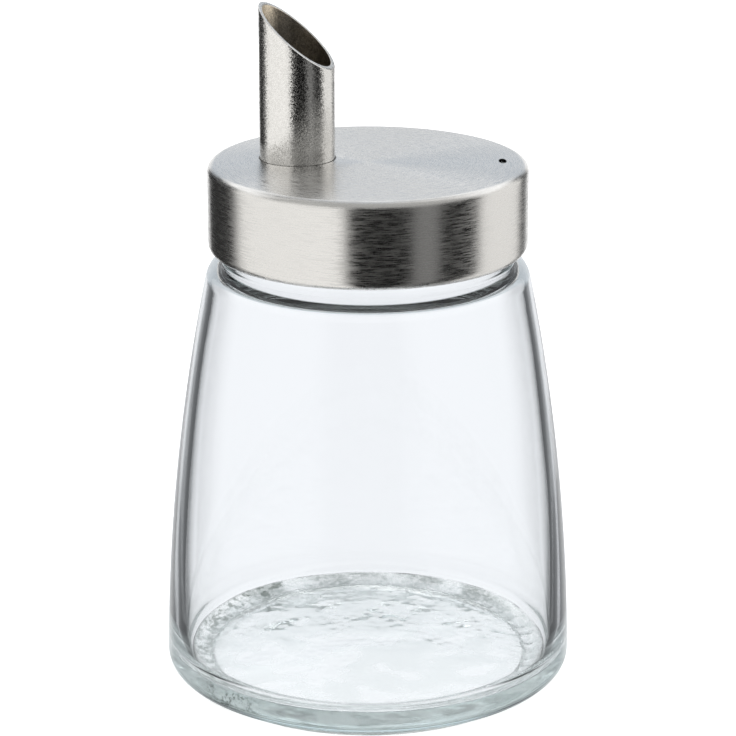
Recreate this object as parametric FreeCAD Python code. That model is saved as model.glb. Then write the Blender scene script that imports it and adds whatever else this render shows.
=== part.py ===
import FreeCAD, Part
import math
import os

# Milk pourer: a clear glass jar under a drawn steel cap with a slant-cut pouring tube.
# Millimetres, +Z up, origin on the table at the middle of the jar's base. The tube stands
# towards -X and its slanted mouth faces the middle of the cap.

# Glass jar, outside
body_radius = 40.0          # widest place, just above the heel
heel_bevel = 6.4            # from the widest place in to the ring that the jar stands on
heel_height = 3.5           # height where the bevel under the heel meets the wall
heel_rounding = 3.8
shoulder_height = 84.4      # where the wall turns in to the shoulder
shoulder_width = 2.7        # from that turn in to the neck
shoulder_rise = 1.2         # the shoulder climbs this much on its way to the neck
shoulder_rounding = 5.0
wall_bow = 2.0              # how far the wall bulges outside a straight cone
neck_radius = 28.2
neck_root_rounding = 0.8
rim_rounding = 0.9

# Glass jar, inside
heel_wall = 3.3             # thickness just above the floor
shoulder_wall = 1.7         # thickness just below the shoulder
inner_bow_extra = 0.2       # the inner wall bulges a little more than the outer one
floor_height = 5.6
floor_crown = 0.7           # the floor stands higher in the middle
floor_rounding = 4.0
shoulder_glass = 2.9        # height of glass between the inner and outer shoulder
inner_shoulder_rounding = 2.6
neck_wall = 2.5
bore_rounding = 2.0

# Glass jar, underside
foot_width = 2.2            # flat width of the standing ring
foot_depth = 0.8            # step up from the ring to the hollow
foot_step = 0.9             # run of that step
hollow_depth = 2.3          # height of the hollow at its middle

# Steel cap
cap_gap = 1.7               # from the shoulder up to the cap's lower edge
cap_height = 17.0
cap_sheet = 0.6
cap_edge_rounding = 1.0     # outer radius round the top face
lip_rounding = 1.7          # outer radius where the lower edge curls in
lip_clearance = 0.7         # from the curled lip to the glass neck

# Screw insert of plastic between the cap and the neck
insert_wall = 1.6
insert_clearance = 0.05     # to the cap's wall
insert_chamfer = 0.7
insert_lip_gap = 0.2        # above the curled lip
neck_clearance = 0.3        # to the glass neck
seal_thickness = 1.2
seal_overhang = 1.5         # how far the sealing flange reaches inside the glass

# Pouring tube
tube_radius = 7.25
tube_wall = 0.8
tube_top = 29.9             # highest point of the slanted mouth above the cap
tube_slant = 40.0           # degrees between the mouth and level
tube_clearance = 0.05       # in the cap's hole
collar_width = 1.7
collar_thickness = 0.8
collar_clearance = 1.25     # from the collar to the sealing flange

# Air hole
vent_radius = 0.8
vent_inset = 1.55           # outwards from the flange's inner edge
vent_bearing = 16.0         # degrees round from +X
vent_slot_width = 2.4       # passage through the sealing flange
vent_slot_margin = 0.65     # how far the passage reaches beyond the hole

# Radii that follow from the sizes above
foot_radius = body_radius - heel_bevel
shoulder_radius = neck_radius + shoulder_width
bore_radius = neck_radius - neck_wall
insert_inside = neck_radius + neck_clearance
insert_outside = insert_inside + insert_wall
cap_inside = insert_outside + insert_clearance
cap_radius = cap_inside + cap_sheet
lip_radius = neck_radius + lip_clearance
seal_radius = bore_radius - seal_overhang
collar_radius = tube_radius + collar_width
tube_offset = seal_radius - collar_clearance - collar_radius
vent_offset = seal_radius + vent_inset
vent_slot_end = vent_offset + vent_radius + vent_slot_margin

# Heights that follow from the sizes above
neck_foot = shoulder_height + shoulder_rise
cap_foot = neck_foot + cap_gap
cap_top = cap_foot + cap_height
cap_under = cap_top - cap_sheet
rim_height = cap_under - seal_thickness
collar_foot = cap_under - collar_thickness
mouth_top = cap_top + tube_top

margin = 5.0                # how far a cutting tool stands clear of what it cuts
rounding_steps = 8          # rounds of refining where an arc touches its two neighbours
up = FreeCAD.Vector(0, 0, 1)
origin = FreeCAD.Vector(0, 0, 0)


def at(radius, height):
    """A point of a half outline, at this distance from the axis."""
    return FreeCAD.Vector(radius, 0, height)


def bow_centre(start, end, bow):
    """The centre of the arc from start to end that stands `bow` outside the straight line."""
    along = end - start
    outward = FreeCAD.Vector(along.z, 0, -along.x).normalize()
    if outward.x < 0:
        outward = -outward
    radius = (along.Length ** 2 / 4 + bow ** 2) / (2 * bow)
    return (start + end) * 0.5 - outward * (radius - bow)


def dome_centre(top, rim):
    """The centre of the dome that is level at its top, on the axis, and reaches the rim."""
    rise = top.z - rim.z
    return at(0, top.z - (rim.x ** 2 + rise ** 2) / (2 * rise))


def stretch(start, end, centre):
    """An edge from start to end: straight, or an arc about the centre where there is one."""
    if centre is None:
        return Part.LineSegment(start, end).toShape()
    outward = ((start + end) * 0.5 - centre).normalize()
    middle = centre + outward * (start - centre).Length
    return Part.Arc(start, middle, end).toShape()


def nearest(point, start, end, centre):
    """The nearest place to a point on the whole line or circle of a stretch."""
    if centre is None:
        along = (end - start).normalize()
        return start + along * (point - start).dot(along)
    return centre + (point - centre).normalize() * (start - centre).Length


def rounding_at(corner, before, after, radius):
    """The arc that rounds the corner between two stretches, as its two ends and its centre."""
    back = (nearest(corner + (before[0] - corner).normalize(), *before) - corner).normalize()
    ahead = (nearest(corner + (after[1] - corner).normalize(), *after) - corner).normalize()
    inward = (back + ahead).normalize()
    half_turn = back.getAngle(ahead) / 2
    centre = corner + inward * (radius / math.sin(half_turn))
    for _ in range(rounding_steps):
        first = nearest(centre, *before)
        last = nearest(centre, *after)
        off_first = (centre - first).normalize()
        off_last = (centre - last).normalize()
        miss_first = radius - (centre - first).Length
        miss_last = radius - (centre - last).Length
        spread = off_first.x * off_last.z - off_first.z * off_last.x
        centre.x += (miss_first * off_last.z - miss_last * off_first.z) / spread
        centre.z += (miss_last * off_first.x - miss_first * off_last.x) / spread
    return nearest(centre, *before), nearest(centre, *after), centre


def turned(corners, roundings, centres):
    """The solid that a closed half outline makes when it is turned about +Z.

    roundings gives the rounding of a corner by its number, and centres gives the centre of
    each arc by the number of the corner that it starts from.
    """
    count = len(corners)
    sides = [(corners[i], corners[(i + 1) % count], centres.get(i)) for i in range(count)]
    starts = list(corners)
    ends = corners[1:] + corners[:1]
    fillets = {}
    for i, radius in roundings.items():
        first, last, centre = rounding_at(corners[i], sides[i - 1], sides[i], radius)
        ends[i - 1] = first
        starts[i] = last
        fillets[i] = stretch(first, last, centre)
    edges = []
    for i in range(count):
        if i in fillets:
            edges.append(fillets[i])
        edges.append(stretch(starts[i], ends[i], centres.get(i)))
    return Part.Face(Part.Wire(edges)).revolve(origin, up, 360)


def make_jar():
    hollow_edge = foot_radius - foot_width
    floor_radius = body_radius - heel_wall
    inner_shoulder_radius = shoulder_radius - shoulder_wall
    inner_shoulder_height = shoulder_height - shoulder_glass
    corners = [
        at(0, hollow_depth),
        at(hollow_edge - foot_step, foot_depth),
        at(hollow_edge, 0),
        at(foot_radius, 0),
        at(body_radius, heel_height),
        at(shoulder_radius, shoulder_height),
        at(neck_radius, neck_foot),
        at(neck_radius, rim_height),
        at(bore_radius, rim_height),
        at(bore_radius, inner_shoulder_height + shoulder_rise),
        at(inner_shoulder_radius, inner_shoulder_height),
        at(floor_radius, floor_height),
        at(0, floor_height + floor_crown),
    ]
    heel, shoulder = 4, 5
    neck_root, rim_outside, rim_inside, bore_root = 6, 7, 8, 9
    inner_shoulder, floor_edge, floor_middle = 10, 11, 12
    roundings = {
        heel: heel_rounding,
        shoulder: shoulder_rounding,
        neck_root: neck_root_rounding,
        rim_outside: rim_rounding,
        rim_inside: rim_rounding,
        bore_root: bore_rounding,
        inner_shoulder: inner_shoulder_rounding,
        floor_edge: floor_rounding,
    }
    centres = {
        0: dome_centre(corners[0], corners[1]),
        heel: bow_centre(corners[heel], corners[shoulder], wall_bow),
        inner_shoulder: bow_centre(
            corners[inner_shoulder],
            corners[floor_edge],
            wall_bow + inner_bow_extra,
        ),
        floor_edge: dome_centre(corners[floor_middle], corners[floor_edge]),
    }
    return turned(corners, roundings, centres)


def make_cap():
    corners = [
        at(0, cap_under),
        at(cap_inside, cap_under),
        at(cap_inside, cap_foot + cap_sheet),
        at(lip_radius, cap_foot + cap_sheet),
        at(lip_radius, cap_foot),
        at(cap_radius, cap_foot),
        at(cap_radius, cap_top),
        at(0, cap_top),
    ]
    inner_edge, inner_bend, lip_bend, top_edge = 1, 2, 5, 6
    roundings = {
        inner_edge: cap_edge_rounding - cap_sheet,
        inner_bend: lip_rounding - cap_sheet,
        lip_bend: lip_rounding,
        top_edge: cap_edge_rounding,
    }
    cap = turned(corners, roundings, {})
    drill_foot = cap_under - margin
    drill_length = cap_sheet + 2 * margin
    tube_place = FreeCAD.Vector(-tube_offset, 0, drill_foot)
    tube_hole = Part.makeCylinder(tube_radius + tube_clearance, drill_length, tube_place, up)
    vent_place = FreeCAD.Vector(vent_offset, 0, drill_foot)
    vent_hole = Part.makeCylinder(vent_radius, drill_length, vent_place, up)
    vent_hole.rotate(origin, up, vent_bearing)
    return cap.cut(tube_hole).cut(vent_hole)


def make_insert():
    foot = cap_foot + lip_rounding + insert_lip_gap
    corners = [
        at(seal_radius, rim_height),
        at(insert_inside, rim_height),
        at(insert_inside, foot),
        at(insert_outside, foot),
        at(insert_outside, cap_under - insert_chamfer),
        at(insert_outside - insert_chamfer, cap_under),
        at(seal_radius, cap_under),
    ]
    insert = turned(corners, {}, {})
    slot_start = seal_radius - margin
    slot_foot = rim_height - margin
    slot = Part.makeBox(
        vent_slot_end - slot_start,
        vent_slot_width,
        seal_thickness + 2 * margin,
        FreeCAD.Vector(slot_start, -vent_slot_width / 2, slot_foot),
    )
    slot.rotate(origin, up, vent_bearing)
    return insert.cut(slot)


def make_tube():
    place = FreeCAD.Vector(-tube_offset, 0, collar_foot)
    length = mouth_top - collar_foot
    outer = Part.makeCylinder(tube_radius, length, place, up)
    collar = Part.makeCylinder(collar_radius, collar_thickness, place, up)
    bore = Part.makeCylinder(tube_radius - tube_wall, length, place, up)
    reach = tube_radius + margin
    above_mouth = Part.makeBox(2 * reach, 2 * reach, 2 * reach, FreeCAD.Vector(0, -reach, 0))
    above_mouth.translate(FreeCAD.Vector(-margin, 0, 0))
    above_mouth.rotate(origin, FreeCAD.Vector(0, 1, 0), tube_slant)
    above_mouth.translate(FreeCAD.Vector(-tube_offset - tube_radius, 0, mouth_top))
    return outer.fuse(collar).cut(bore).cut(above_mouth).removeSplitter()


def main():
    os.makedirs("parts", exist_ok=True)
    parts = {
        "jar": make_jar(),
        "cap": make_cap(),
        "screw_insert": make_insert(),
        "pouring_tube": make_tube(),
    }
    for name, shape in parts.items():
        print(f"{name}: {len(shape.Solids)} solid, valid {shape.isValid()}, {shape.Volume:.0f} mm3")
        shape.exportStep(f"parts/{name}.step")


main()
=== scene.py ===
import math
import bmesh
import bpy
from mathutils import Matrix, Vector


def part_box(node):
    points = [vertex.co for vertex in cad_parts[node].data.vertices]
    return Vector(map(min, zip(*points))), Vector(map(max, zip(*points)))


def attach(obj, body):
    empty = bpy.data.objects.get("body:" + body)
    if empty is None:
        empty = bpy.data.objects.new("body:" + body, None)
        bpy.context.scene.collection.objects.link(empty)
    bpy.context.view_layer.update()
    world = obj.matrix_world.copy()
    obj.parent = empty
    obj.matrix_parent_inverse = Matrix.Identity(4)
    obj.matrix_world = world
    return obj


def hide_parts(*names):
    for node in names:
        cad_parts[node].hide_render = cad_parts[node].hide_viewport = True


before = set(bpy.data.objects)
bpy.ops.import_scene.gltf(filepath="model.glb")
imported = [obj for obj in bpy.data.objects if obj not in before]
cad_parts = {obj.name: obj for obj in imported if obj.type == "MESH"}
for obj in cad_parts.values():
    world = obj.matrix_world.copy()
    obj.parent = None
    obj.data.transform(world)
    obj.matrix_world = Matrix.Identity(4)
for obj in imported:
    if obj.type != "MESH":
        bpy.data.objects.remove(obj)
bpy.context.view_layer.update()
mm = 0.001
print("frame loaded:", sorted(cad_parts))


class Wire:                                   # a node's output that can stand in a sum
    def __init__(self, sheet, socket):
        self.sheet = sheet
        self.socket = socket

    def maths(self, operation, *others):
        values = dict(enumerate((self,) + others))
        return self.sheet.add("ShaderNodeMath", {"operation": operation}, values)

    def __add__(self, other):
        return self.maths("ADD", other)

    def __radd__(self, other):
        return self.maths("ADD", other)

    def __sub__(self, other):
        return self.maths("SUBTRACT", other)

    def __rsub__(self, other):
        return self.sheet.value(other).maths("SUBTRACT", self)

    def __mul__(self, other):
        return self.maths("MULTIPLY", other)

    def __rmul__(self, other):
        return self.maths("MULTIPLY", other)

    def __truediv__(self, other):
        return self.maths("DIVIDE", other)

    def __rtruediv__(self, other):
        return self.sheet.value(other).maths("DIVIDE", self)

    def __pow__(self, other):
        return self.maths("POWER", other)

    def __gt__(self, other):
        return self.maths("GREATER_THAN", other)

    def __lt__(self, other):
        return self.maths("LESS_THAN", other)

    def ramp(self, low, high, outLow=0.0, outHigh=1.0):     # smooth step between two values
        settings = {"interpolation_type": "SMOOTHSTEP"}
        values = {"Value": self, "From Min": low, "From Max": high}
        values.update({"To Min": outLow, "To Max": outHigh})
        return self.sheet.add("ShaderNodeMapRange", settings, values)

    def out(self, name):                      # another output of the same node
        return Wire(self.sheet, self.socket.node.outputs[name])


class NodeSheet:                              # a node tree that is filled by add()
    def __init__(self, tree):
        self.tree = tree

    def value(self, number):
        made = self.add("ShaderNodeValue")
        made.socket.default_value = number
        return made

    def add(self, kind, settings=None, sockets=None, output=0):
        node = self.tree.nodes.new(kind)
        for name, setting in (settings or {}).items():
            if name == "stops":
                fillRamp(node.color_ramp, setting)
            else:
                setattr(node, name, setting)
        for name, given in (sockets or {}).items():
            self.fill(node.inputs[name], given)
        return Wire(self, node.outputs[output]) if len(node.outputs) else node

    def fill(self, socket, given):            # with a wire or with a plain value
        if isinstance(given, Wire):
            self.tree.links.new(given.socket, socket)
        else:
            socket.default_value = given

    def mixColour(self, factor, first, second):
        node = self.tree.nodes.new("ShaderNodeMix")
        node.data_type = "RGBA"
        for index, given in ((0, factor), (6, first), (7, second)):
            self.fill(node.inputs[index], given)
        return Wire(self, node.outputs[2])

    def vector(self, x, y, z):
        return self.add("ShaderNodeCombineXYZ", None, {"X": x, "Y": y, "Z": z})

    def split(self, wire):
        parts = self.add("ShaderNodeSeparateXYZ", None, {0: wire})
        return parts.out("X"), parts.out("Y"), parts.out("Z")

    def noise(self, vector, scale, detail=2.0, roughness=0.5):
        values = {"Vector": vector, "Scale": scale, "Detail": detail, "Roughness": roughness}
        return self.add("ShaderNodeTexNoise", {"noise_dimensions": "3D"}, values)


def fillRamp(ramp, stops):                    # stops: (place, colour) in rising order
    while len(ramp.elements) > 1:
        ramp.elements.remove(ramp.elements[0])
    ramp.elements[0].position = stops[0][0]
    ramp.elements[0].color = stops[0][1]
    for place, colour in stops[1:]:
        ramp.elements.new(place).color = colour


def linear(tone):                             # display tone 0-255 to light
    share = tone / 255
    return share / 12.92 if share <= 0.04045 else ((share + 0.055) / 1.055) ** 2.4


def newMaterial(name):
    material = bpy.data.materials.new(name)
    material.use_nodes = True
    material.node_tree.nodes.clear()
    return material, NodeSheet(material.node_tree)


def finishMaterial(sheet, surface, volume=None):
    sockets = {"Surface": surface}
    if volume is not None:
        sockets["Volume"] = volume
    sheet.add("ShaderNodeOutputMaterial", None, sockets)


def nearest(point, side):                     # side: (start, end, centre), centre None if straight
    start, end, centre = side
    if centre is None:
        along = (end - start).normalized()
        return start + along * (point - start).dot(along)
    return centre + (point - centre).normalized() * (start - centre).length


def roundingAt(corner, before, after, radius):
    back = (nearest(corner + (before[0] - corner).normalized() * mm, before) - corner).normalized()
    ahead = (nearest(corner + (after[1] - corner).normalized() * mm, after) - corner).normalized()
    centre = corner + (back + ahead).normalized() * (radius / math.sin(back.angle(ahead) / 2))
    for _ in range(8):                        # moves the centre until both sides are radius away
        first = nearest(centre, before)
        last = nearest(centre, after)
        offFirst = (centre - first).normalized()
        offLast = (centre - last).normalized()
        missFirst = radius - (centre - first).length
        missLast = radius - (centre - last).length
        spread = offFirst.x * offLast.y - offFirst.y * offLast.x
        centre = centre + Vector((
            (missFirst * offLast.y - missLast * offFirst.y) / spread,
            (missLast * offFirst.x - missFirst * offLast.x) / spread,
        ))
    return nearest(centre, before), nearest(centre, after), centre


def bowCentre(start, end, bow):               # of the arc that stands out by bow at its middle
    along = end - start
    outward = Vector((along.y, -along.x)).normalized()
    if outward.x < 0:
        outward = -outward
    radius = (along.length ** 2 / 4 + bow ** 2) / (2 * bow)
    return (start + end) / 2 - outward * (radius - bow)


def domeCentre(top, rim):                     # on the axis, as far from the top as from the rim
    rise = top.y - rim.y
    return Vector((0, top.y - (rim.x ** 2 + rise ** 2) / (2 * rise)))


def sideSteps(start, end, centre, steps):     # points after start, up to and with end
    if centre is None:
        return [start.lerp(end, k / steps) for k in range(1, steps + 1)]
    first = start - centre
    last = end - centre
    angle = math.atan2(first.y, first.x)
    turn = (math.atan2(last.y, last.x) - angle + math.pi) % (2 * math.pi) - math.pi
    radius = first.length
    points = []
    for k in range(1, steps + 1):
        a = angle + turn * k / steps
        points.append(centre + Vector((math.cos(a), math.sin(a))) * radius)
    return points


def outline(corners, roundings, centres, steps, closed=False):
    # corners (radius, height); roundings, centres and steps go by a corner's number
    arcStep = 11.0                            # degrees of a rounding's turn
    count = len(corners)
    corners = [Vector(c) for c in corners]
    sides = [(corners[i], corners[(i + 1) % count], centres.get(i)) for i in range(count)]
    starts = list(corners)
    ends = corners[1:] + corners[:1]
    arcs = {}
    for i, radius in roundings.items():
        first, last, centre = roundingAt(corners[i], sides[i - 1], sides[i], radius)
        ends[i - 1] = first
        starts[i] = last
        turn = math.degrees((first - centre).angle(last - centre))
        arcs[i] = sideSteps(first, last, centre, max(3, round(turn / arcStep)))
    points = [starts[0]]
    for i in range(count if closed else count - 1):
        points += sideSteps(starts[i], ends[i], centres.get(i), steps.get(i, 1))
        points += arcs.get((i + 1) % count, [])
    return points


turning = {
    "mergeReach": 0.002 * mm,
    "strokeEdge": 0.5 * mm,                   # over which the ring of strokes fades in and out
    "strokeSharpness": 4.0,
    "strokeWander": 5.0,
    "wanderScale": 160.0,
    "wearScale": 90.0,
    "wearHeight": 3.0,                        # another slice of the noise than the wander's
    "rippleScale": 70.0,
    "rippleSquash": 0.35,
    "rippleReach": 20 * mm,                   # none at the axis, all of it from here out
    "crease": math.radians(35),               # edges that turn more than this stay sharp
    "weldReach": 0.001 * mm,
}


def turningTree():                            # turns an outline about an upright axis
    s = turning
    tree = bpy.data.node_groups.new("turnedPiece", "GeometryNodeTree")
    face = tree.interface
    face.new_socket("Geometry", in_out="OUTPUT", socket_type="NodeSocketGeometry")
    face.new_socket("Outline", in_out="INPUT", socket_type="NodeSocketGeometry")
    face.new_socket("Steps Around", in_out="INPUT", socket_type="NodeSocketInt")
    face.new_socket("Material", in_out="INPUT", socket_type="NodeSocketMaterial")
    for name in (
        "Axis X", "Cut Slope", "Cut From", "Cut Foot", "Cut Top", "Stroke Count", "Stroke Depth",
        "Stroke Inner", "Stroke Outer", "Stroke Top", "Stroke Bearing", "Wave Depth",
    ):
        face.new_socket(name, in_out="INPUT", socket_type="NodeSocketFloat")
    sheet = NodeSheet(tree)
    given = sheet.add("NodeGroupInput")
    size = sheet.add("GeometryNodeAttributeDomainSize", None, {"Geometry": given.out("Outline")})
    rows = size.out("Point Count")
    grid = sheet.add("GeometryNodeMeshGrid", None, {
        "Vertices X": given.out("Steps Around") + 1,
        "Vertices Y": rows,
    })
    index = sheet.add("GeometryNodeInputIndex")
    row = index.maths("MODULO", rows)
    column = ((index + 0.5) / rows).maths("FLOOR")
    picked = sheet.add("GeometryNodeSampleIndex", {"data_type": "FLOAT_VECTOR"}, {
        "Geometry": given.out("Outline"),
        "Value": sheet.add("GeometryNodeInputPosition"),
        "Index": row,
    })
    radius, _, height = sheet.split(picked)
    turn = column * (2 * math.pi) / given.out("Steps Around")
    across = radius * turn.maths("COSINE")
    along = radius * turn.maths("SINE")
    # a slanted mouth: the wall shortens towards the low side of the cut
    share = (height - given.out("Cut Foot")) / (given.out("Cut Top") - given.out("Cut Foot"))
    drop = given.out("Cut Slope") * (across - given.out("Cut From"))
    height = height - share.maths("MAXIMUM", 0.0) * drop
    # radial strokes pressed into the underside
    inner = given.out("Stroke Inner")
    outer = given.out("Stroke Outer")
    edge = s["strokeEdge"]
    ring = radius.ramp(inner, inner + edge) * radius.ramp(outer - edge, outer, 1.0, 0.0)
    under = height < given.out("Stroke Top")
    wander = sheet.noise(sheet.vector(across, along, 0.0), s["wanderScale"], 1.0)
    phase = turn * given.out("Stroke Count") + (wander - 0.5) * s["strokeWander"]
    sides = (turn - given.out("Stroke Bearing")).maths("COSINE").maths("ABSOLUTE")
    wear = sheet.noise(sheet.vector(across, along, s["wearHeight"]), s["wearScale"], 1.0)
    worn = wear.ramp(0.35, 0.6) * 0.7 + 0.3
    stroke = (phase.maths("SINE") * 0.5 + 0.5) ** s["strokeSharpness"] * sides ** 3.0 * worn
    height = height + stroke * ring * under * given.out("Stroke Depth")
    # pressed glass is never quite even
    stretched = sheet.vector(across, along, height * s["rippleSquash"])
    ripple = sheet.noise(stretched, s["rippleScale"], 1.0)
    swell = 1 - ripple * given.out("Wave Depth") * radius.ramp(0.0, s["rippleReach"])
    turned = sheet.add("GeometryNodeSetPosition", None, {
        "Geometry": grid.out("Mesh"),
        "Position": sheet.vector(across * swell + given.out("Axis X"), along * swell, height),
    })
    joined = sheet.add("GeometryNodeMergeByDistance", None, {
        "Geometry": turned,
        "Distance": s["mergeReach"],
    })
    real = sheet.add("GeometryNodeRealizeInstances", None, {"Geometry": joined})
    painted = sheet.add("GeometryNodeSetMaterial", None, {
        "Geometry": real,
        "Material": given.out("Material"),
    })
    sheet.add("NodeGroupOutput", None, {"Geometry": painted})
    return tree


turnedPiece = turningTree()


def turnPiece(name, points, stepsAround, material, settings=None):
    mesh = bpy.data.meshes.new(name + "Outline")
    edges = [(k, k + 1) for k in range(len(points) - 1)]
    mesh.from_pydata([(p.x, 0, p.y) for p in points], edges, [])
    maker = bpy.data.objects.new(name + "Maker", mesh)
    bpy.context.scene.collection.objects.link(maker)
    modifier = maker.modifiers.new("turn", "NODES")
    modifier.node_group = turnedPiece
    # a cut that starts a metre up leaves a piece whole
    values = {"Steps Around": stepsAround, "Material": material, "Cut Foot": 1.0, "Cut Top": 2.0}
    values.update(settings or {})
    for item in turnedPiece.interface.items_tree:
        if item.in_out == "INPUT" and item.name in values:
            modifier[item.identifier] = values[item.name]
    return plainMesh(name, maker, material)


def plainMesh(name, maker, material):         # the evaluated shape as a mesh of its own
    bpy.context.view_layer.update()
    shaped = maker.evaluated_get(bpy.context.evaluated_depsgraph_get())
    mesh = bpy.data.meshes.new_from_object(shaped)
    mesh.name = name
    bpy.data.objects.remove(maker)
    work = bmesh.new()
    work.from_mesh(mesh)
    bmesh.ops.dissolve_degenerate(work, dist=turning["weldReach"], edges=work.edges)
    bmesh.ops.recalc_face_normals(work, faces=work.faces)
    for face in work.faces:
        face.smooth = True
        face.material_index = 0
    for edge in work.edges:
        if len(edge.link_faces) == 2 and edge.calc_face_angle(0) > turning["crease"]:
            edge.smooth = False
    work.to_mesh(mesh)
    work.free()
    mesh.materials.clear()
    mesh.materials.append(material)
    piece = bpy.data.objects.new(name, mesh)
    bpy.context.scene.collection.objects.link(piece)
    return piece


studio = {
    "cameraBearing": 14.5,                    # degrees round from the object's front
    "cameraReach": 588.5 * mm,
    "cameraHeight": 251.0 * mm,
    "cameraPitch": 17.72,                     # degrees down
    "lens": 155.0,
    "seenInSteel": (                          # bearing from the camera's side, display tone, warmth
        (-180, 232, 0.0), (-160, 232, 0.0), (-155, 40, 0.0), (-113, 44, 0.0), (-102, 228, 0.5),
        (-19, 234, 0.5), (-13, 14, 0.0), (29, 14, 0.0), (34, 108, 0.2), (50, 118, 0.2),
        (54, 24, 0.0), (82, 28, 0.0), (89, 218, 0.5), (134, 218, 0.5), (140, 85, 0.0),
        (152, 85, 0.0), (160, 232, 0.0), (180, 232, 0.0),
    ),
    "glassFront": ((-30, 238), (-20, 195), (30, 195), (40, 230)),
    "glassSides": (                           # the same on the left and on the right
        (116, 236), (128, 170), (135, 20), (148, 5), (151, 70), (155.5, 100), (158, 222),
        (162, 241), (180, 241),
    ),
    "glassWarmth": -1.0,
    "steelShare": 0.74,                       # what the steel sends back of a band's light
    "glassShare": 0.95,
    # heights are the upward share of a direction, from 0 at the horizon to 1 overhead
    "backdrop": (0.56, 0.61, 0.67, 1),        # some way above the table, behind the object
    "backdropRise": (0.12, 0.22),
    "farWall": (0.60, 0.66, 0.71, 1),         # the same place, as it shows through glass
    "farWallRise": (0.0, 0.12),
    "tent": (0.88, 0.90, 0.92, 1),            # in the outer skin of the glass
    "tentSide": (0.62, 0.65, 0.68, 1),
    "ceiling": (1.32, 1.33, 1.34, 1),
    "ceilingRise": (0.37, 0.56),
    "ceilingFade": (0.64, 0.86, 1.0, 0.25),
    "glassCeilingRise": (0.34, 0.6),
    "frontLight": (0.50, 0.50, 0.49, 1),      # above the camera
    "frontLightRise": (0.22, 0.40),
    "beyondTable": (1.0, 1.0, 1.0, 1),        # plain white past the table's edge
    "tableSize": 3.0,
    "tableGlow": 0.8,
}


def buildCamera():
    bearing = math.radians(studio["cameraBearing"])
    pitch = math.radians(studio["cameraPitch"])
    data = bpy.data.cameras.new("camera")
    data.lens = studio["lens"]
    data.sensor_width = 36.0
    camera = bpy.data.objects.new("camera", data)
    camera.location = (
        studio["cameraReach"] * math.sin(bearing),
        -studio["cameraReach"] * math.cos(bearing),
        studio["cameraHeight"],
    )
    look = Vector((
        -math.sin(bearing) * math.cos(pitch),
        math.cos(bearing) * math.cos(pitch),
        -math.sin(pitch),
    ))
    camera.rotation_euler = look.to_track_quat("-Z", "Y").to_euler()
    bpy.context.scene.collection.objects.link(camera)
    bpy.context.scene.camera = camera


def bandStops(bands, share):                  # bands: (bearing, display tone, warmth)
    stops = []
    for angle, tone, warmth in bands:
        light = linear(tone) / share
        colour = (light, light * (1 - 0.02 * warmth), light * (1 - 0.06 * warmth), 1)
        stops.append(((angle + 180) / 360, colour))
    return stops


def glassBands():
    right = studio["glassSides"]
    left = [(-angle, tone) for angle, tone in reversed(right)]
    bands = left + list(studio["glassFront"]) + list(right)
    return [(angle, tone, studio["glassWarmth"]) for angle, tone in bands]


def buildWorld():                             # soft boxes and dark flags stood round the table
    world = bpy.data.worlds.new("studio")
    bpy.context.scene.world = world
    world.use_nodes = True
    world.node_tree.nodes.clear()
    sheet = NodeSheet(world.node_tree)
    x, y, z = sheet.split(sheet.add("ShaderNodeTexCoord").out("Generated"))
    cameraAngle = math.radians(studio["cameraBearing"] - 90)
    bearing = ((y.maths("ARCTAN2", x) - cameraAngle) / (2 * math.pi) + 0.5).maths("FRACT")
    # aside: 0 on the camera's side, 0.25 square to it, 0.5 straight behind the object
    aside = (bearing - 0.5).maths("ABSOLUTE")
    behind = aside.ramp(0.40, 0.45)
    facing = aside.ramp(0.30, 0.22)
    flank = aside.ramp(0.44, 0.40) * aside.ramp(0.30, 0.36)
    steelStops = bandStops(studio["seenInSteel"], studio["steelShare"])
    steel = sheet.add("ShaderNodeValToRGB", {"stops": steelStops}, {"Fac": bearing})
    steel = sheet.mixColour(behind * z.ramp(*studio["backdropRise"]), steel, studio["backdrop"])
    steel = sheet.mixColour(facing * z.ramp(*studio["frontLightRise"]), steel, studio["frontLight"])
    lofty = z.ramp(*studio["ceilingRise"]) * z.ramp(*studio["ceilingFade"]) * (1 - facing)
    steel = sheet.mixColour(lofty, steel, studio["ceiling"])
    glassStops = bandStops(glassBands(), studio["glassShare"])
    glass = sheet.add("ShaderNodeValToRGB", {"stops": glassStops}, {"Fac": bearing})
    glass = sheet.mixColour(behind * z.ramp(*studio["farWallRise"]), glass, studio["farWall"])
    glass = sheet.mixColour(z.ramp(*studio["glassCeilingRise"]), glass, studio["ceiling"])
    skin = sheet.mixColour(flank, studio["tent"], studio["tentSide"])
    path = sheet.add("ShaderNodeLightPath")
    colour = sheet.mixColour(path.out("Is Singular Ray"), steel, skin)
    colour = sheet.mixColour(path.out("Is Transmission Ray"), colour, glass)
    colour = sheet.mixColour(path.out("Is Camera Ray"), colour, studio["beyondTable"])
    light = sheet.add("ShaderNodeBackground", None, {"Color": colour, "Strength": 1.0})
    sheet.add("ShaderNodeOutputWorld", None, {"Surface": light})


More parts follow.
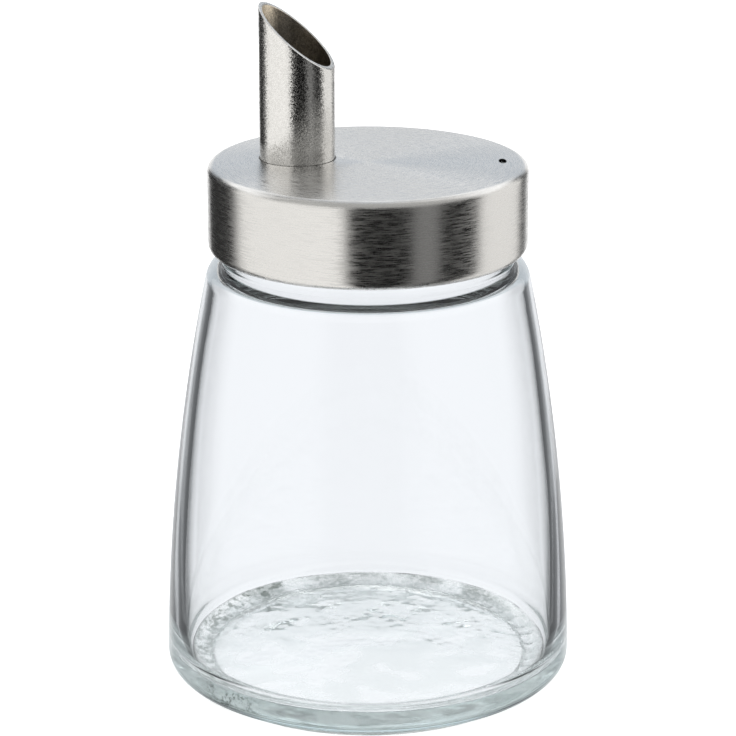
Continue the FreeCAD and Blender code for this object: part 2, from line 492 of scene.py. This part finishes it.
def buildTable():
    material, sheet = newMaterial("paleTable")
    grain = sheet.noise(sheet.add("ShaderNodeTexCoord").out("Object"), 900.0, 2.0)
    shade = sheet.mixColour(grain, (0.90, 0.90, 0.90, 1), (0.94, 0.94, 0.94, 1))
    top = sheet.add("ShaderNodeBsdfDiffuse", None, {"Color": shade})
    glow = sheet.add("ShaderNodeEmission", None, {
        "Color": (1, 1, 1, 1),
        "Strength": studio["tableGlow"],
    })
    finishMaterial(sheet, sheet.add("ShaderNodeAddShader", None, {0: top, 1: glow}))
    half = studio["tableSize"] / 2
    mesh = bpy.data.meshes.new("table")
    corners = [(-half, -half, 0), (half, -half, 0), (half, half, 0), (-half, half, 0)]
    mesh.from_pydata(corners, [], [(0, 1, 2, 3)])
    mesh.materials.append(material)
    table = bpy.data.objects.new("table", mesh)
    bpy.context.scene.collection.objects.link(table)
    table.visible_glossy = False
    table.visible_transmission = False


buildCamera()
buildWorld()
buildTable()
bpy.context.scene.view_settings.view_transform = "Standard"
print("studio built")


jarSettings = {
    "heelBevel": 6.4 * mm,
    "heelHeight": 3.5 * mm,
    "heelRounding": 3.8 * mm,
    "shoulderHeight": 84.4 * mm,
    "shoulderRadius": 30.9 * mm,
    "shoulderRise": 1.2 * mm,
    "shoulderRounding": 5.0 * mm,
    "wallBow": 2.0 * mm,
    "neckRadius": 28.2 * mm,
    "neckRootRounding": 0.8 * mm,
    "neckWall": 2.5 * mm,
    "rimRounding": 0.9 * mm,
    "heelWall": 3.3 * mm,
    "shoulderWall": 1.7 * mm,
    "innerBow": 2.2 * mm,
    "floorHeight": 5.6 * mm,
    "floorCrown": 0.7 * mm,
    "floorRounding": 4.0 * mm,
    "shoulderGlass": 2.15 * mm,
    "innerShoulderRounding": 2.6 * mm,
    "boreRounding": 2.0 * mm,
    "footWidth": 1.3 * mm,
    "footDepth": 0.8 * mm,
    "footStep": 0.7 * mm,
    "footRounding": 0.25 * mm,
    "footInnerRounding": 0.6 * mm,
    "hollowRounding": 1.0 * mm,
    "hollowDepth": 2.3 * mm,
    "stepsAround": 720,
    "strokes": {                              # short radial strokes pressed into the foot
        "Stroke Count": 50.0,
        "Stroke Depth": 0.9 * mm,
        "Stroke Inner": 32.0 * mm,
        "Stroke Outer": 35.8 * mm,
        "Stroke Top": 1.5 * mm,
        "Stroke Bearing": math.radians(studio["cameraBearing"]),
        "Wave Depth": 0.003,                  # share of the radius
    },
    "glassIndex": 1.52,
    "tint": (0.80, 0.93, 0.92, 1),
    "tintDensity": 14.0,
    "undersideTop": (2.4 * mm, 3.2 * mm),     # pressed relief ends between these heights
    "stippledRing": (28.5 * mm, 34 * mm),     # and turns to stipple between these radii
    "stipple": 0.22,
    "stippleGrain": 1100.0,                   # grains go by the metre, more is finer
    "swellGrain": 130.0,
    "mottleGrain": 420.0,
    "speckGrain": 1500.0,
    "cloudGrain": 75.0,
    "veilGrain": 150.0,
    "swell": (0.75, 0.3),                     # at the far side and at the near side
    "reliefDepth": 0.8 * mm,
    "ringRoughness": 0.10,
    "paleFrost": (0.94, 1.0, 0.985, 1),
    # dark translucent colour that carries the painted shade
    "paintedShadeFrost": (0.04, 0.075, 0.045, 1),
    "veil": (0.1, 0.4),                       # least and most frost under the base
    "ringFrost": (0.1, 0.5),
    "heelShadeBand": ((3.2 * mm, 4.6 * mm), (7.0 * mm, 8.6 * mm)),      # heights of the painted shade on the heel
    "heelShadeReach": ((-33 * mm, -30 * mm), (-25 * mm, -18 * mm)),     # across, from the middle
}


def glassFinish():
    s = jarSettings
    material, sheet = newMaterial("clearGlass")
    place = sheet.add("ShaderNodeTexCoord").out("Object")
    x, y, z = sheet.split(place)
    radius = (x * x + y * y).maths("SQRT")
    turn = math.radians(studio["cameraBearing"])
    sideways = x * math.cos(turn) + y * math.sin(turn)
    forward = x * math.sin(turn) - y * math.cos(turn)

    # relief pressed into the underside
    under = z.ramp(*s["undersideTop"], 1.0, 0.0)
    ring = under * radius.ramp(*s["stippledRing"])
    grain = sheet.noise(place, s["stippleGrain"], 3.0, 0.65)
    swell = sheet.noise(place, s["swellGrain"], 2.0, 0.5)
    uneven = forward.ramp(-6 * mm, 22 * mm, *s["swell"])
    height = grain * ring * s["stipple"] + swell * under * uneven
    relief = {"Strength": 1.0, "Distance": s["reliefDepth"], "Height": height}
    glass = sheet.add("ShaderNodeBsdfPrincipled", None, {
        "Base Color": (1.0, 1.0, 1.0, 1),
        "Roughness": ring * s["ringRoughness"],
        "IOR": s["glassIndex"],
        "Transmission Weight": 1.0,
        "Normal": sheet.add("ShaderNodeBump", None, relief),
    })

    # painted dark green shade in flecks on the foot and on the heel, standing in for light that runs
    # a long way in the glass
    mottle = sheet.noise(place, s["mottleGrain"], 3.0, 0.7).ramp(0.47, 0.58)
    # painted shade in flecks on the stippled foot ring, strongest on the left
    paintedRingShade = mottle * ring * sideways.ramp(-30 * mm, -12 * mm, 1.0, 0.25) * 0.8
    bandFoot, bandTop = s["heelShadeBand"]
    band = z.ramp(*bandFoot) * z.ramp(*bandTop, 1.0, 0.0)
    skin = radius.ramp(36 * mm, 38 * mm) * band * forward.ramp(2 * mm, 8 * mm)
    outerEnd, innerEnd = s["heelShadeReach"]
    leftMost = sideways.ramp(*innerEnd, 1.0, 0.1) * sideways.ramp(*outerEnd)
    speck = sheet.noise(place, s["speckGrain"], 3.0, 0.75)
    # painted dark green shade on the near left of the heel
    green = speck.ramp(0.46, 0.56) * skin * leftMost * (0.2 + mottle * 0.8)

    # a soft shade at the far side of the base, and a thin frost under all of it
    cloud = sheet.noise(place, s["cloudGrain"], 1.0).ramp(0.42, 0.58)
    farSide = forward.ramp(-30 * mm, -6 * mm, 1.0, 0.0)
    shade = cloud * under * radius.ramp(18 * mm, 30 * mm) * farSide
    veil = sheet.noise(place, s["veilGrain"], 2.0, 0.5).ramp(0.4, 0.6, *s["veil"])
    ringFrost = ring * grain.ramp(0.38, 0.6, *s["ringFrost"])
    share = under * veil + ringFrost + paintedRingShade * 0.5 + shade * 0.15 + green * 0.7
    # the dark translucent share is all painted shade
    dark = paintedRingShade * 0.8 + green * 2.0 + shade * 0.45
    pale = sheet.add("ShaderNodeBsdfTranslucent", None, {"Color": s["paleFrost"]})
    deep = sheet.add("ShaderNodeBsdfTranslucent", None, {"Color": s["paintedShadeFrost"]})
    darkShare = dark.maths("MINIMUM", 1.0)
    # pale frost mixed with the painted shade
    frostAndShade = sheet.add("ShaderNodeMixShader", None, {0: darkShare, 1: pale, 2: deep})
    frostAndShadeShare = share.maths("MINIMUM", 1.0)
    surface = sheet.add("ShaderNodeMixShader", None, {0: frostAndShadeShare, 1: glass, 2: frostAndShade})
    tint = {"Color": s["tint"], "Density": s["tintDensity"]}
    finishMaterial(sheet, surface, sheet.add("ShaderNodeVolumeAbsorption", None, tint))
    return material


def buildJar(finish):
    s = jarSettings
    low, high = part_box("jar")
    rim = high.z
    body = high.x
    foot = body - s["heelBevel"]
    hollow = foot - s["footWidth"]
    bore = s["neckRadius"] - s["neckWall"]
    neckFoot = s["shoulderHeight"] + s["shoulderRise"]
    innerShoulder = s["shoulderHeight"] - s["shoulderGlass"]
    corners = [
        (0, s["hollowDepth"]),
        (hollow - s["footStep"], s["footDepth"]),
        (hollow, 0),
        (foot, 0),
        (body, s["heelHeight"]),
        (s["shoulderRadius"], s["shoulderHeight"]),
        (s["neckRadius"], neckFoot),
        (s["neckRadius"], rim),
        (bore, rim),
        (bore, innerShoulder + s["shoulderRise"]),
        (s["shoulderRadius"] - s["shoulderWall"], innerShoulder),
        (body - s["heelWall"], s["floorHeight"]),
        (0, s["floorHeight"] + s["floorCrown"]),
    ]
    corners = [Vector(c) for c in corners]
    roundings = {
        1: s["hollowRounding"], 2: s["footInnerRounding"], 3: s["footRounding"],
        4: s["heelRounding"], 5: s["shoulderRounding"], 6: s["neckRootRounding"],
        7: s["rimRounding"], 8: s["rimRounding"], 9: s["boreRounding"],
        10: s["innerShoulderRounding"], 11: s["floorRounding"],
    }
    centres = {
        0: domeCentre(corners[0], corners[1]),
        4: bowCentre(corners[4], corners[5], s["wallBow"]),
        10: bowCentre(corners[10], corners[11], s["innerBow"]),
        11: domeCentre(corners[12], corners[11]),
    }
    steps = {0: 8, 2: 5, 3: 2, 4: 20, 6: 3, 8: 3, 10: 20, 11: 8}
    points = outline(corners, roundings, centres, steps)
    piece = turnPiece("glassJar", points, s["stepsAround"], finish, s["strokes"])
    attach(piece, "root")
    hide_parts("jar")
    print("jar:", len(points), "outline points,", len(piece.data.polygons), "faces")


capSettings = {
    "sheet": 0.6 * mm,
    "edgeRounding": 1.5 * mm,
    "lipRounding": 1.7 * mm,
    "lipRadius": 28.9 * mm,
    "lipEdgeRounding": 0.2 * mm,
    "stepsAround": 360,
    "tubeHoleRadius": 7.45 * mm,
    "ventRadius": 0.72 * mm,
    "ventStretch": 2.4,                       # the air hole is longer along the rim
    "ventOffset": 25.75 * mm,
    "ventBearing": math.radians(16.0),
    "drillSpare": 5 * mm,                     # how far a drill reaches past what it cuts
    "fineStreaks": 8000.0,
    "broadStreaks": 4000.0,
    "streakReach": 0.0014,                    # less makes the streaks longer round the axis
    "streakDepth": 0.02 * mm,
    "darkSteel": (0.62, 0.61, 0.595, 1),
    "paleSteel": (0.88, 0.87, 0.85, 1),
    # colour of the painted shade round the air hole
    "ventShade": (0.05, 0.05, 0.05, 1),
    "ventShadeWidth": 0.1 * mm,
    "roughness": (0.17, 0.39),
}


def ventCentre():
    s = capSettings
    return s["ventOffset"] * math.cos(s["ventBearing"]), s["ventOffset"] * math.sin(s["ventBearing"])


def tubeAxis():                               # how far the tube stands from the cap's axis
    low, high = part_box("pouring_tube")
    return (low.x + high.x) / 2


def brushedFinish():
    s = capSettings
    material, sheet = newMaterial("brushedSteel")
    x, y, z = sheet.split(sheet.add("ShaderNodeTexCoord").out("Object"))
    radius = (x * x + y * y).maths("SQRT")
    lane = radius - z                         # rises across the brushing on the top and the wall
    ringX = x / radius * s["streakReach"]
    ringY = y / radius * s["streakReach"]
    fine = sheet.noise(sheet.vector(ringX, ringY, lane), s["fineStreaks"], 2.0, 0.7)
    broad = sheet.noise(sheet.vector(ringX * 1.5, ringY * 1.5, lane), s["broadStreaks"], 3.0, 0.7)
    streak = fine * 0.4 + broad * 0.6
    bump = {"Strength": 1.0, "Distance": s["streakDepth"], "Height": streak}
    # painted shade round the air hole, longer along the rim
    turn = s["ventBearing"]
    outward = x * math.cos(turn) + y * math.sin(turn) - s["ventOffset"]
    sideways = (y * math.cos(turn) - x * math.sin(turn)) / s["ventStretch"]
    reach = (outward * outward + sideways * sideways).maths("SQRT")
    ventShadeMask = reach.ramp(s["ventRadius"], s["ventRadius"] + s["ventShadeWidth"], 1.0, 0.0)
    colour = sheet.mixColour(streak, s["darkSteel"], s["paleSteel"])
    steel = sheet.add("ShaderNodeBsdfPrincipled", None, {
        "Base Color": sheet.mixColour(ventShadeMask, colour, s["ventShade"]),
        "Metallic": 1.0,
        "Roughness": streak.ramp(0.36, 0.64, *s["roughness"]),
        "Anisotropic": 0.85,
        "Anisotropic Rotation": 0.25,
        "Normal": sheet.add("ShaderNodeBump", None, bump),
    })
    finishMaterial(sheet, steel)
    return material


def cutHole(piece, centre, radius, low, high, steps, stretch=1.0, turn=0.0):
    # the drill is a straight post, longer one way where stretch is over 1
    depth = high - low + 2 * capSettings["drillSpare"]
    work = bmesh.new()
    bmesh.ops.create_cone(
        work, cap_ends=True, segments=steps, radius1=radius, radius2=radius, depth=depth,
    )
    bmesh.ops.scale(work, verts=work.verts, vec=(1, stretch, 1))
    bmesh.ops.rotate(work, verts=work.verts, matrix=Matrix.Rotation(turn, 3, "Z"))
    bmesh.ops.translate(work, verts=work.verts, vec=(centre[0], centre[1], (low + high) / 2))
    mesh = bpy.data.meshes.new("drill")
    work.to_mesh(mesh)
    work.free()
    drill = bpy.data.objects.new("drill", mesh)
    bpy.context.scene.collection.objects.link(drill)
    cut = piece.modifiers.new("hole", "BOOLEAN")
    cut.operation = "DIFFERENCE"
    cut.solver = "EXACT"
    cut.object = drill
    material = piece.data.materials[0]
    name = piece.name
    piece.name = name + "Whole"
    made = plainMesh(name, piece, material)
    bpy.data.objects.remove(drill)
    return made


def cutVent(piece, radius, low, high):        # the air hole, through the cap or the insert
    s = capSettings
    return cutHole(piece, ventCentre(), radius, low, high, 32, s["ventStretch"], s["ventBearing"])


def buildCap(finish):
    s = capSettings
    low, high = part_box("cap")
    radius = high.x
    inside = radius - s["sheet"]
    under = high.z - s["sheet"]
    corners = [
        (0, under),
        (inside, under),
        (inside, low.z + s["sheet"]),
        (s["lipRadius"], low.z + s["sheet"]),
        (s["lipRadius"], low.z),
        (radius, low.z),
        (radius, high.z),
        (0, high.z),
    ]
    roundings = {
        1: s["edgeRounding"] - s["sheet"], 2: s["lipRounding"] - s["sheet"],
        3: s["lipEdgeRounding"], 4: s["lipEdgeRounding"],
        5: s["lipRounding"], 6: s["edgeRounding"],
    }
    points = outline(corners, roundings, {}, {0: 4, 1: 3, 5: 6, 6: 6})
    piece = turnPiece("brushedCap", points, s["stepsAround"], finish)
    piece = cutHole(piece, (tubeAxis(), 0), s["tubeHoleRadius"], under, high.z, 96)
    piece = cutVent(piece, s["ventRadius"], under, high.z)
    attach(piece, "root")
    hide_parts("cap")
    print("cap:", len(piece.data.polygons), "faces")


tubeSettings = {
    "wall": 0.8 * mm,
    "radius": 7.25 * mm,
    "collarThickness": 0.8 * mm,
    "slant": 40.0,                            # degrees
    "edgeRounding": 0.2 * mm,
    "stepsAround": 160,
    "pitScale": 6300.0,                       # blasted pits to the metre
    "pitTilt": 0.15,
    "darkSteel": (0.69, 0.68, 0.66, 1),
    "paleSteel": (0.86, 0.85, 0.83, 1),
    # darker brown tone of the bore, painted shade
    "boreDark": (0.43, 0.39, 0.33, 1),
    "borePaintedLight": (0.92, 0.80, 0.62, 1),        # painted warm light in a patch just inside the mouth
    "boreGrain": (0.2, 0.18, 0.16, 1),
    "boreEdge": 0.15 * mm,                    # over which the bore's tones and roughness give way
    "boreLightBand": (130 * mm, 140 * mm),
    "roughness": (0.15, 0.33),
}


def satinFinish():
    s = tubeSettings
    material, sheet = newMaterial("satinSteel")
    place = sheet.add("ShaderNodeTexCoord").out("Object")
    x, y, z = sheet.split(place)
    across = x - tubeAxis()
    radius = (across * across + y * y).maths("SQRT")
    bore = s["radius"] - s["wall"]
    inside = radius.ramp(bore, bore + s["boreEdge"], 1.0, 0.0)
    # one tone and one tilt for each blasted pit
    pits = sheet.add("ShaderNodeTexVoronoi", None, {"Vector": place, "Scale": s["pitScale"]}, "Color")
    red, green, blue = sheet.split(pits)
    tilt = sheet.vector(*((part - 0.5) * s["pitTilt"] for part in (red, green, blue)))
    even = sheet.add("ShaderNodeNewGeometry").out("Normal")
    tilted = sheet.add("ShaderNodeVectorMath", {"operation": "ADD"}, {0: even, 1: tilt})
    steel = sheet.mixColour(red, s["darkSteel"], s["paleSteel"])
    # painted light and shade in the bore: warm light just inside the mouth, a darker brown further in
    paintedBoreLight = (z - across * 0.8).ramp(*s["boreLightBand"])
    boreLightAndShade = sheet.mixColour(paintedBoreLight, s["boreDark"], s["borePaintedLight"])
    boreLightAndShade = sheet.mixColour(red.ramp(0.35, 0.65, 0.5, 0.0), boreLightAndShade, s["boreGrain"])
    metal = sheet.add("ShaderNodeBsdfPrincipled", None, {
        "Base Color": sheet.mixColour(inside, steel, boreLightAndShade),
        "Metallic": 1.0,
        "Roughness": blue.ramp(0.2, 1.0, *s["roughness"]) + inside * 0.2,
        "Normal": sheet.add("ShaderNodeVectorMath", {"operation": "NORMALIZE"}, {0: tilted}),
    })
    finishMaterial(sheet, metal)
    return material


def buildTube(finish):
    s = tubeSettings
    low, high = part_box("pouring_tube")
    collar = (high.x - low.x) / 2
    bore = s["radius"] - s["wall"]
    corners = [
        (bore, low.z),
        (collar, low.z),
        (collar, low.z + s["collarThickness"]),
        (s["radius"], low.z + s["collarThickness"]),
        (s["radius"], high.z),
        (bore, high.z),
    ]
    roundings = {k: s["edgeRounding"] for k in (0, 1, 2, 4, 5)}
    points = outline(corners, roundings, {}, {0: 2, 3: 24, 5: 24}, closed=True)
    mouth = {
        "Axis X": tubeAxis(),
        "Cut Slope": math.tan(math.radians(s["slant"])),
        "Cut From": -s["radius"],
        "Cut Foot": low.z + s["collarThickness"],
        "Cut Top": high.z,
    }
    piece = turnPiece("pouringTube", points, s["stepsAround"], finish, mouth)
    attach(piece, "root")
    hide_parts("pouring_tube")
    print("tube:", len(piece.data.polygons), "faces")


insertSettings = {
    "sealInside": 24.2 * mm,
    "wallInside": 28.5 * mm,
    "chamfer": 0.7 * mm,
    "edgeRounding": 0.15 * mm,
    "ventRadius": 1.0 * mm,
    "stepsAround": 180,
    "mottleGrain": 700.0,
    "mottleDepth": 0.03 * mm,
    "darkPlastic": (0.88, 0.91, 0.90, 1),
    "palePlastic": (0.94, 0.96, 0.95, 1),
    "roughness": (0.38, 0.5),
}


def plasticFinish():
    s = insertSettings
    material, sheet = newMaterial("insertPlastic")
    mottle = sheet.noise(sheet.add("ShaderNodeTexCoord").out("Object"), s["mottleGrain"], 2.0)
    bump = {"Strength": 0.2, "Distance": s["mottleDepth"], "Height": mottle}
    plastic = sheet.add("ShaderNodeBsdfPrincipled", None, {
        "Base Color": sheet.mixColour(mottle, s["darkPlastic"], s["palePlastic"]),
        "Roughness": mottle.ramp(0.3, 0.7, *s["roughness"]),
        "Normal": sheet.add("ShaderNodeBump", None, bump),
    })
    finishMaterial(sheet, plastic)
    return material


def buildInsert(finish):
    s = insertSettings
    low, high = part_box("screw_insert")
    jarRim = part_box("jar")[1].z
    corners = [
        (s["sealInside"], jarRim),
        (s["wallInside"], jarRim),
        (s["wallInside"], low.z),
        (high.x, low.z),
        (high.x, high.z - s["chamfer"]),
        (high.x - s["chamfer"], high.z),
        (s["sealInside"], high.z),
    ]
    roundings = {k: s["edgeRounding"] for k in (0, 2, 3, 4, 5, 6)}
    points = outline(corners, roundings, {}, {1: 4, 3: 4}, closed=True)
    piece = turnPiece("screwInsert", points, s["stepsAround"], finish)
    piece = cutVent(piece, s["ventRadius"], jarRim, high.z)
    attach(piece, "root")
    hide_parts("screw_insert")
    print("insert:", len(piece.data.polygons), "faces")


buildJar(glassFinish())
buildCap(brushedFinish())
buildTube(satinFinish())
buildInsert(plasticFinish())
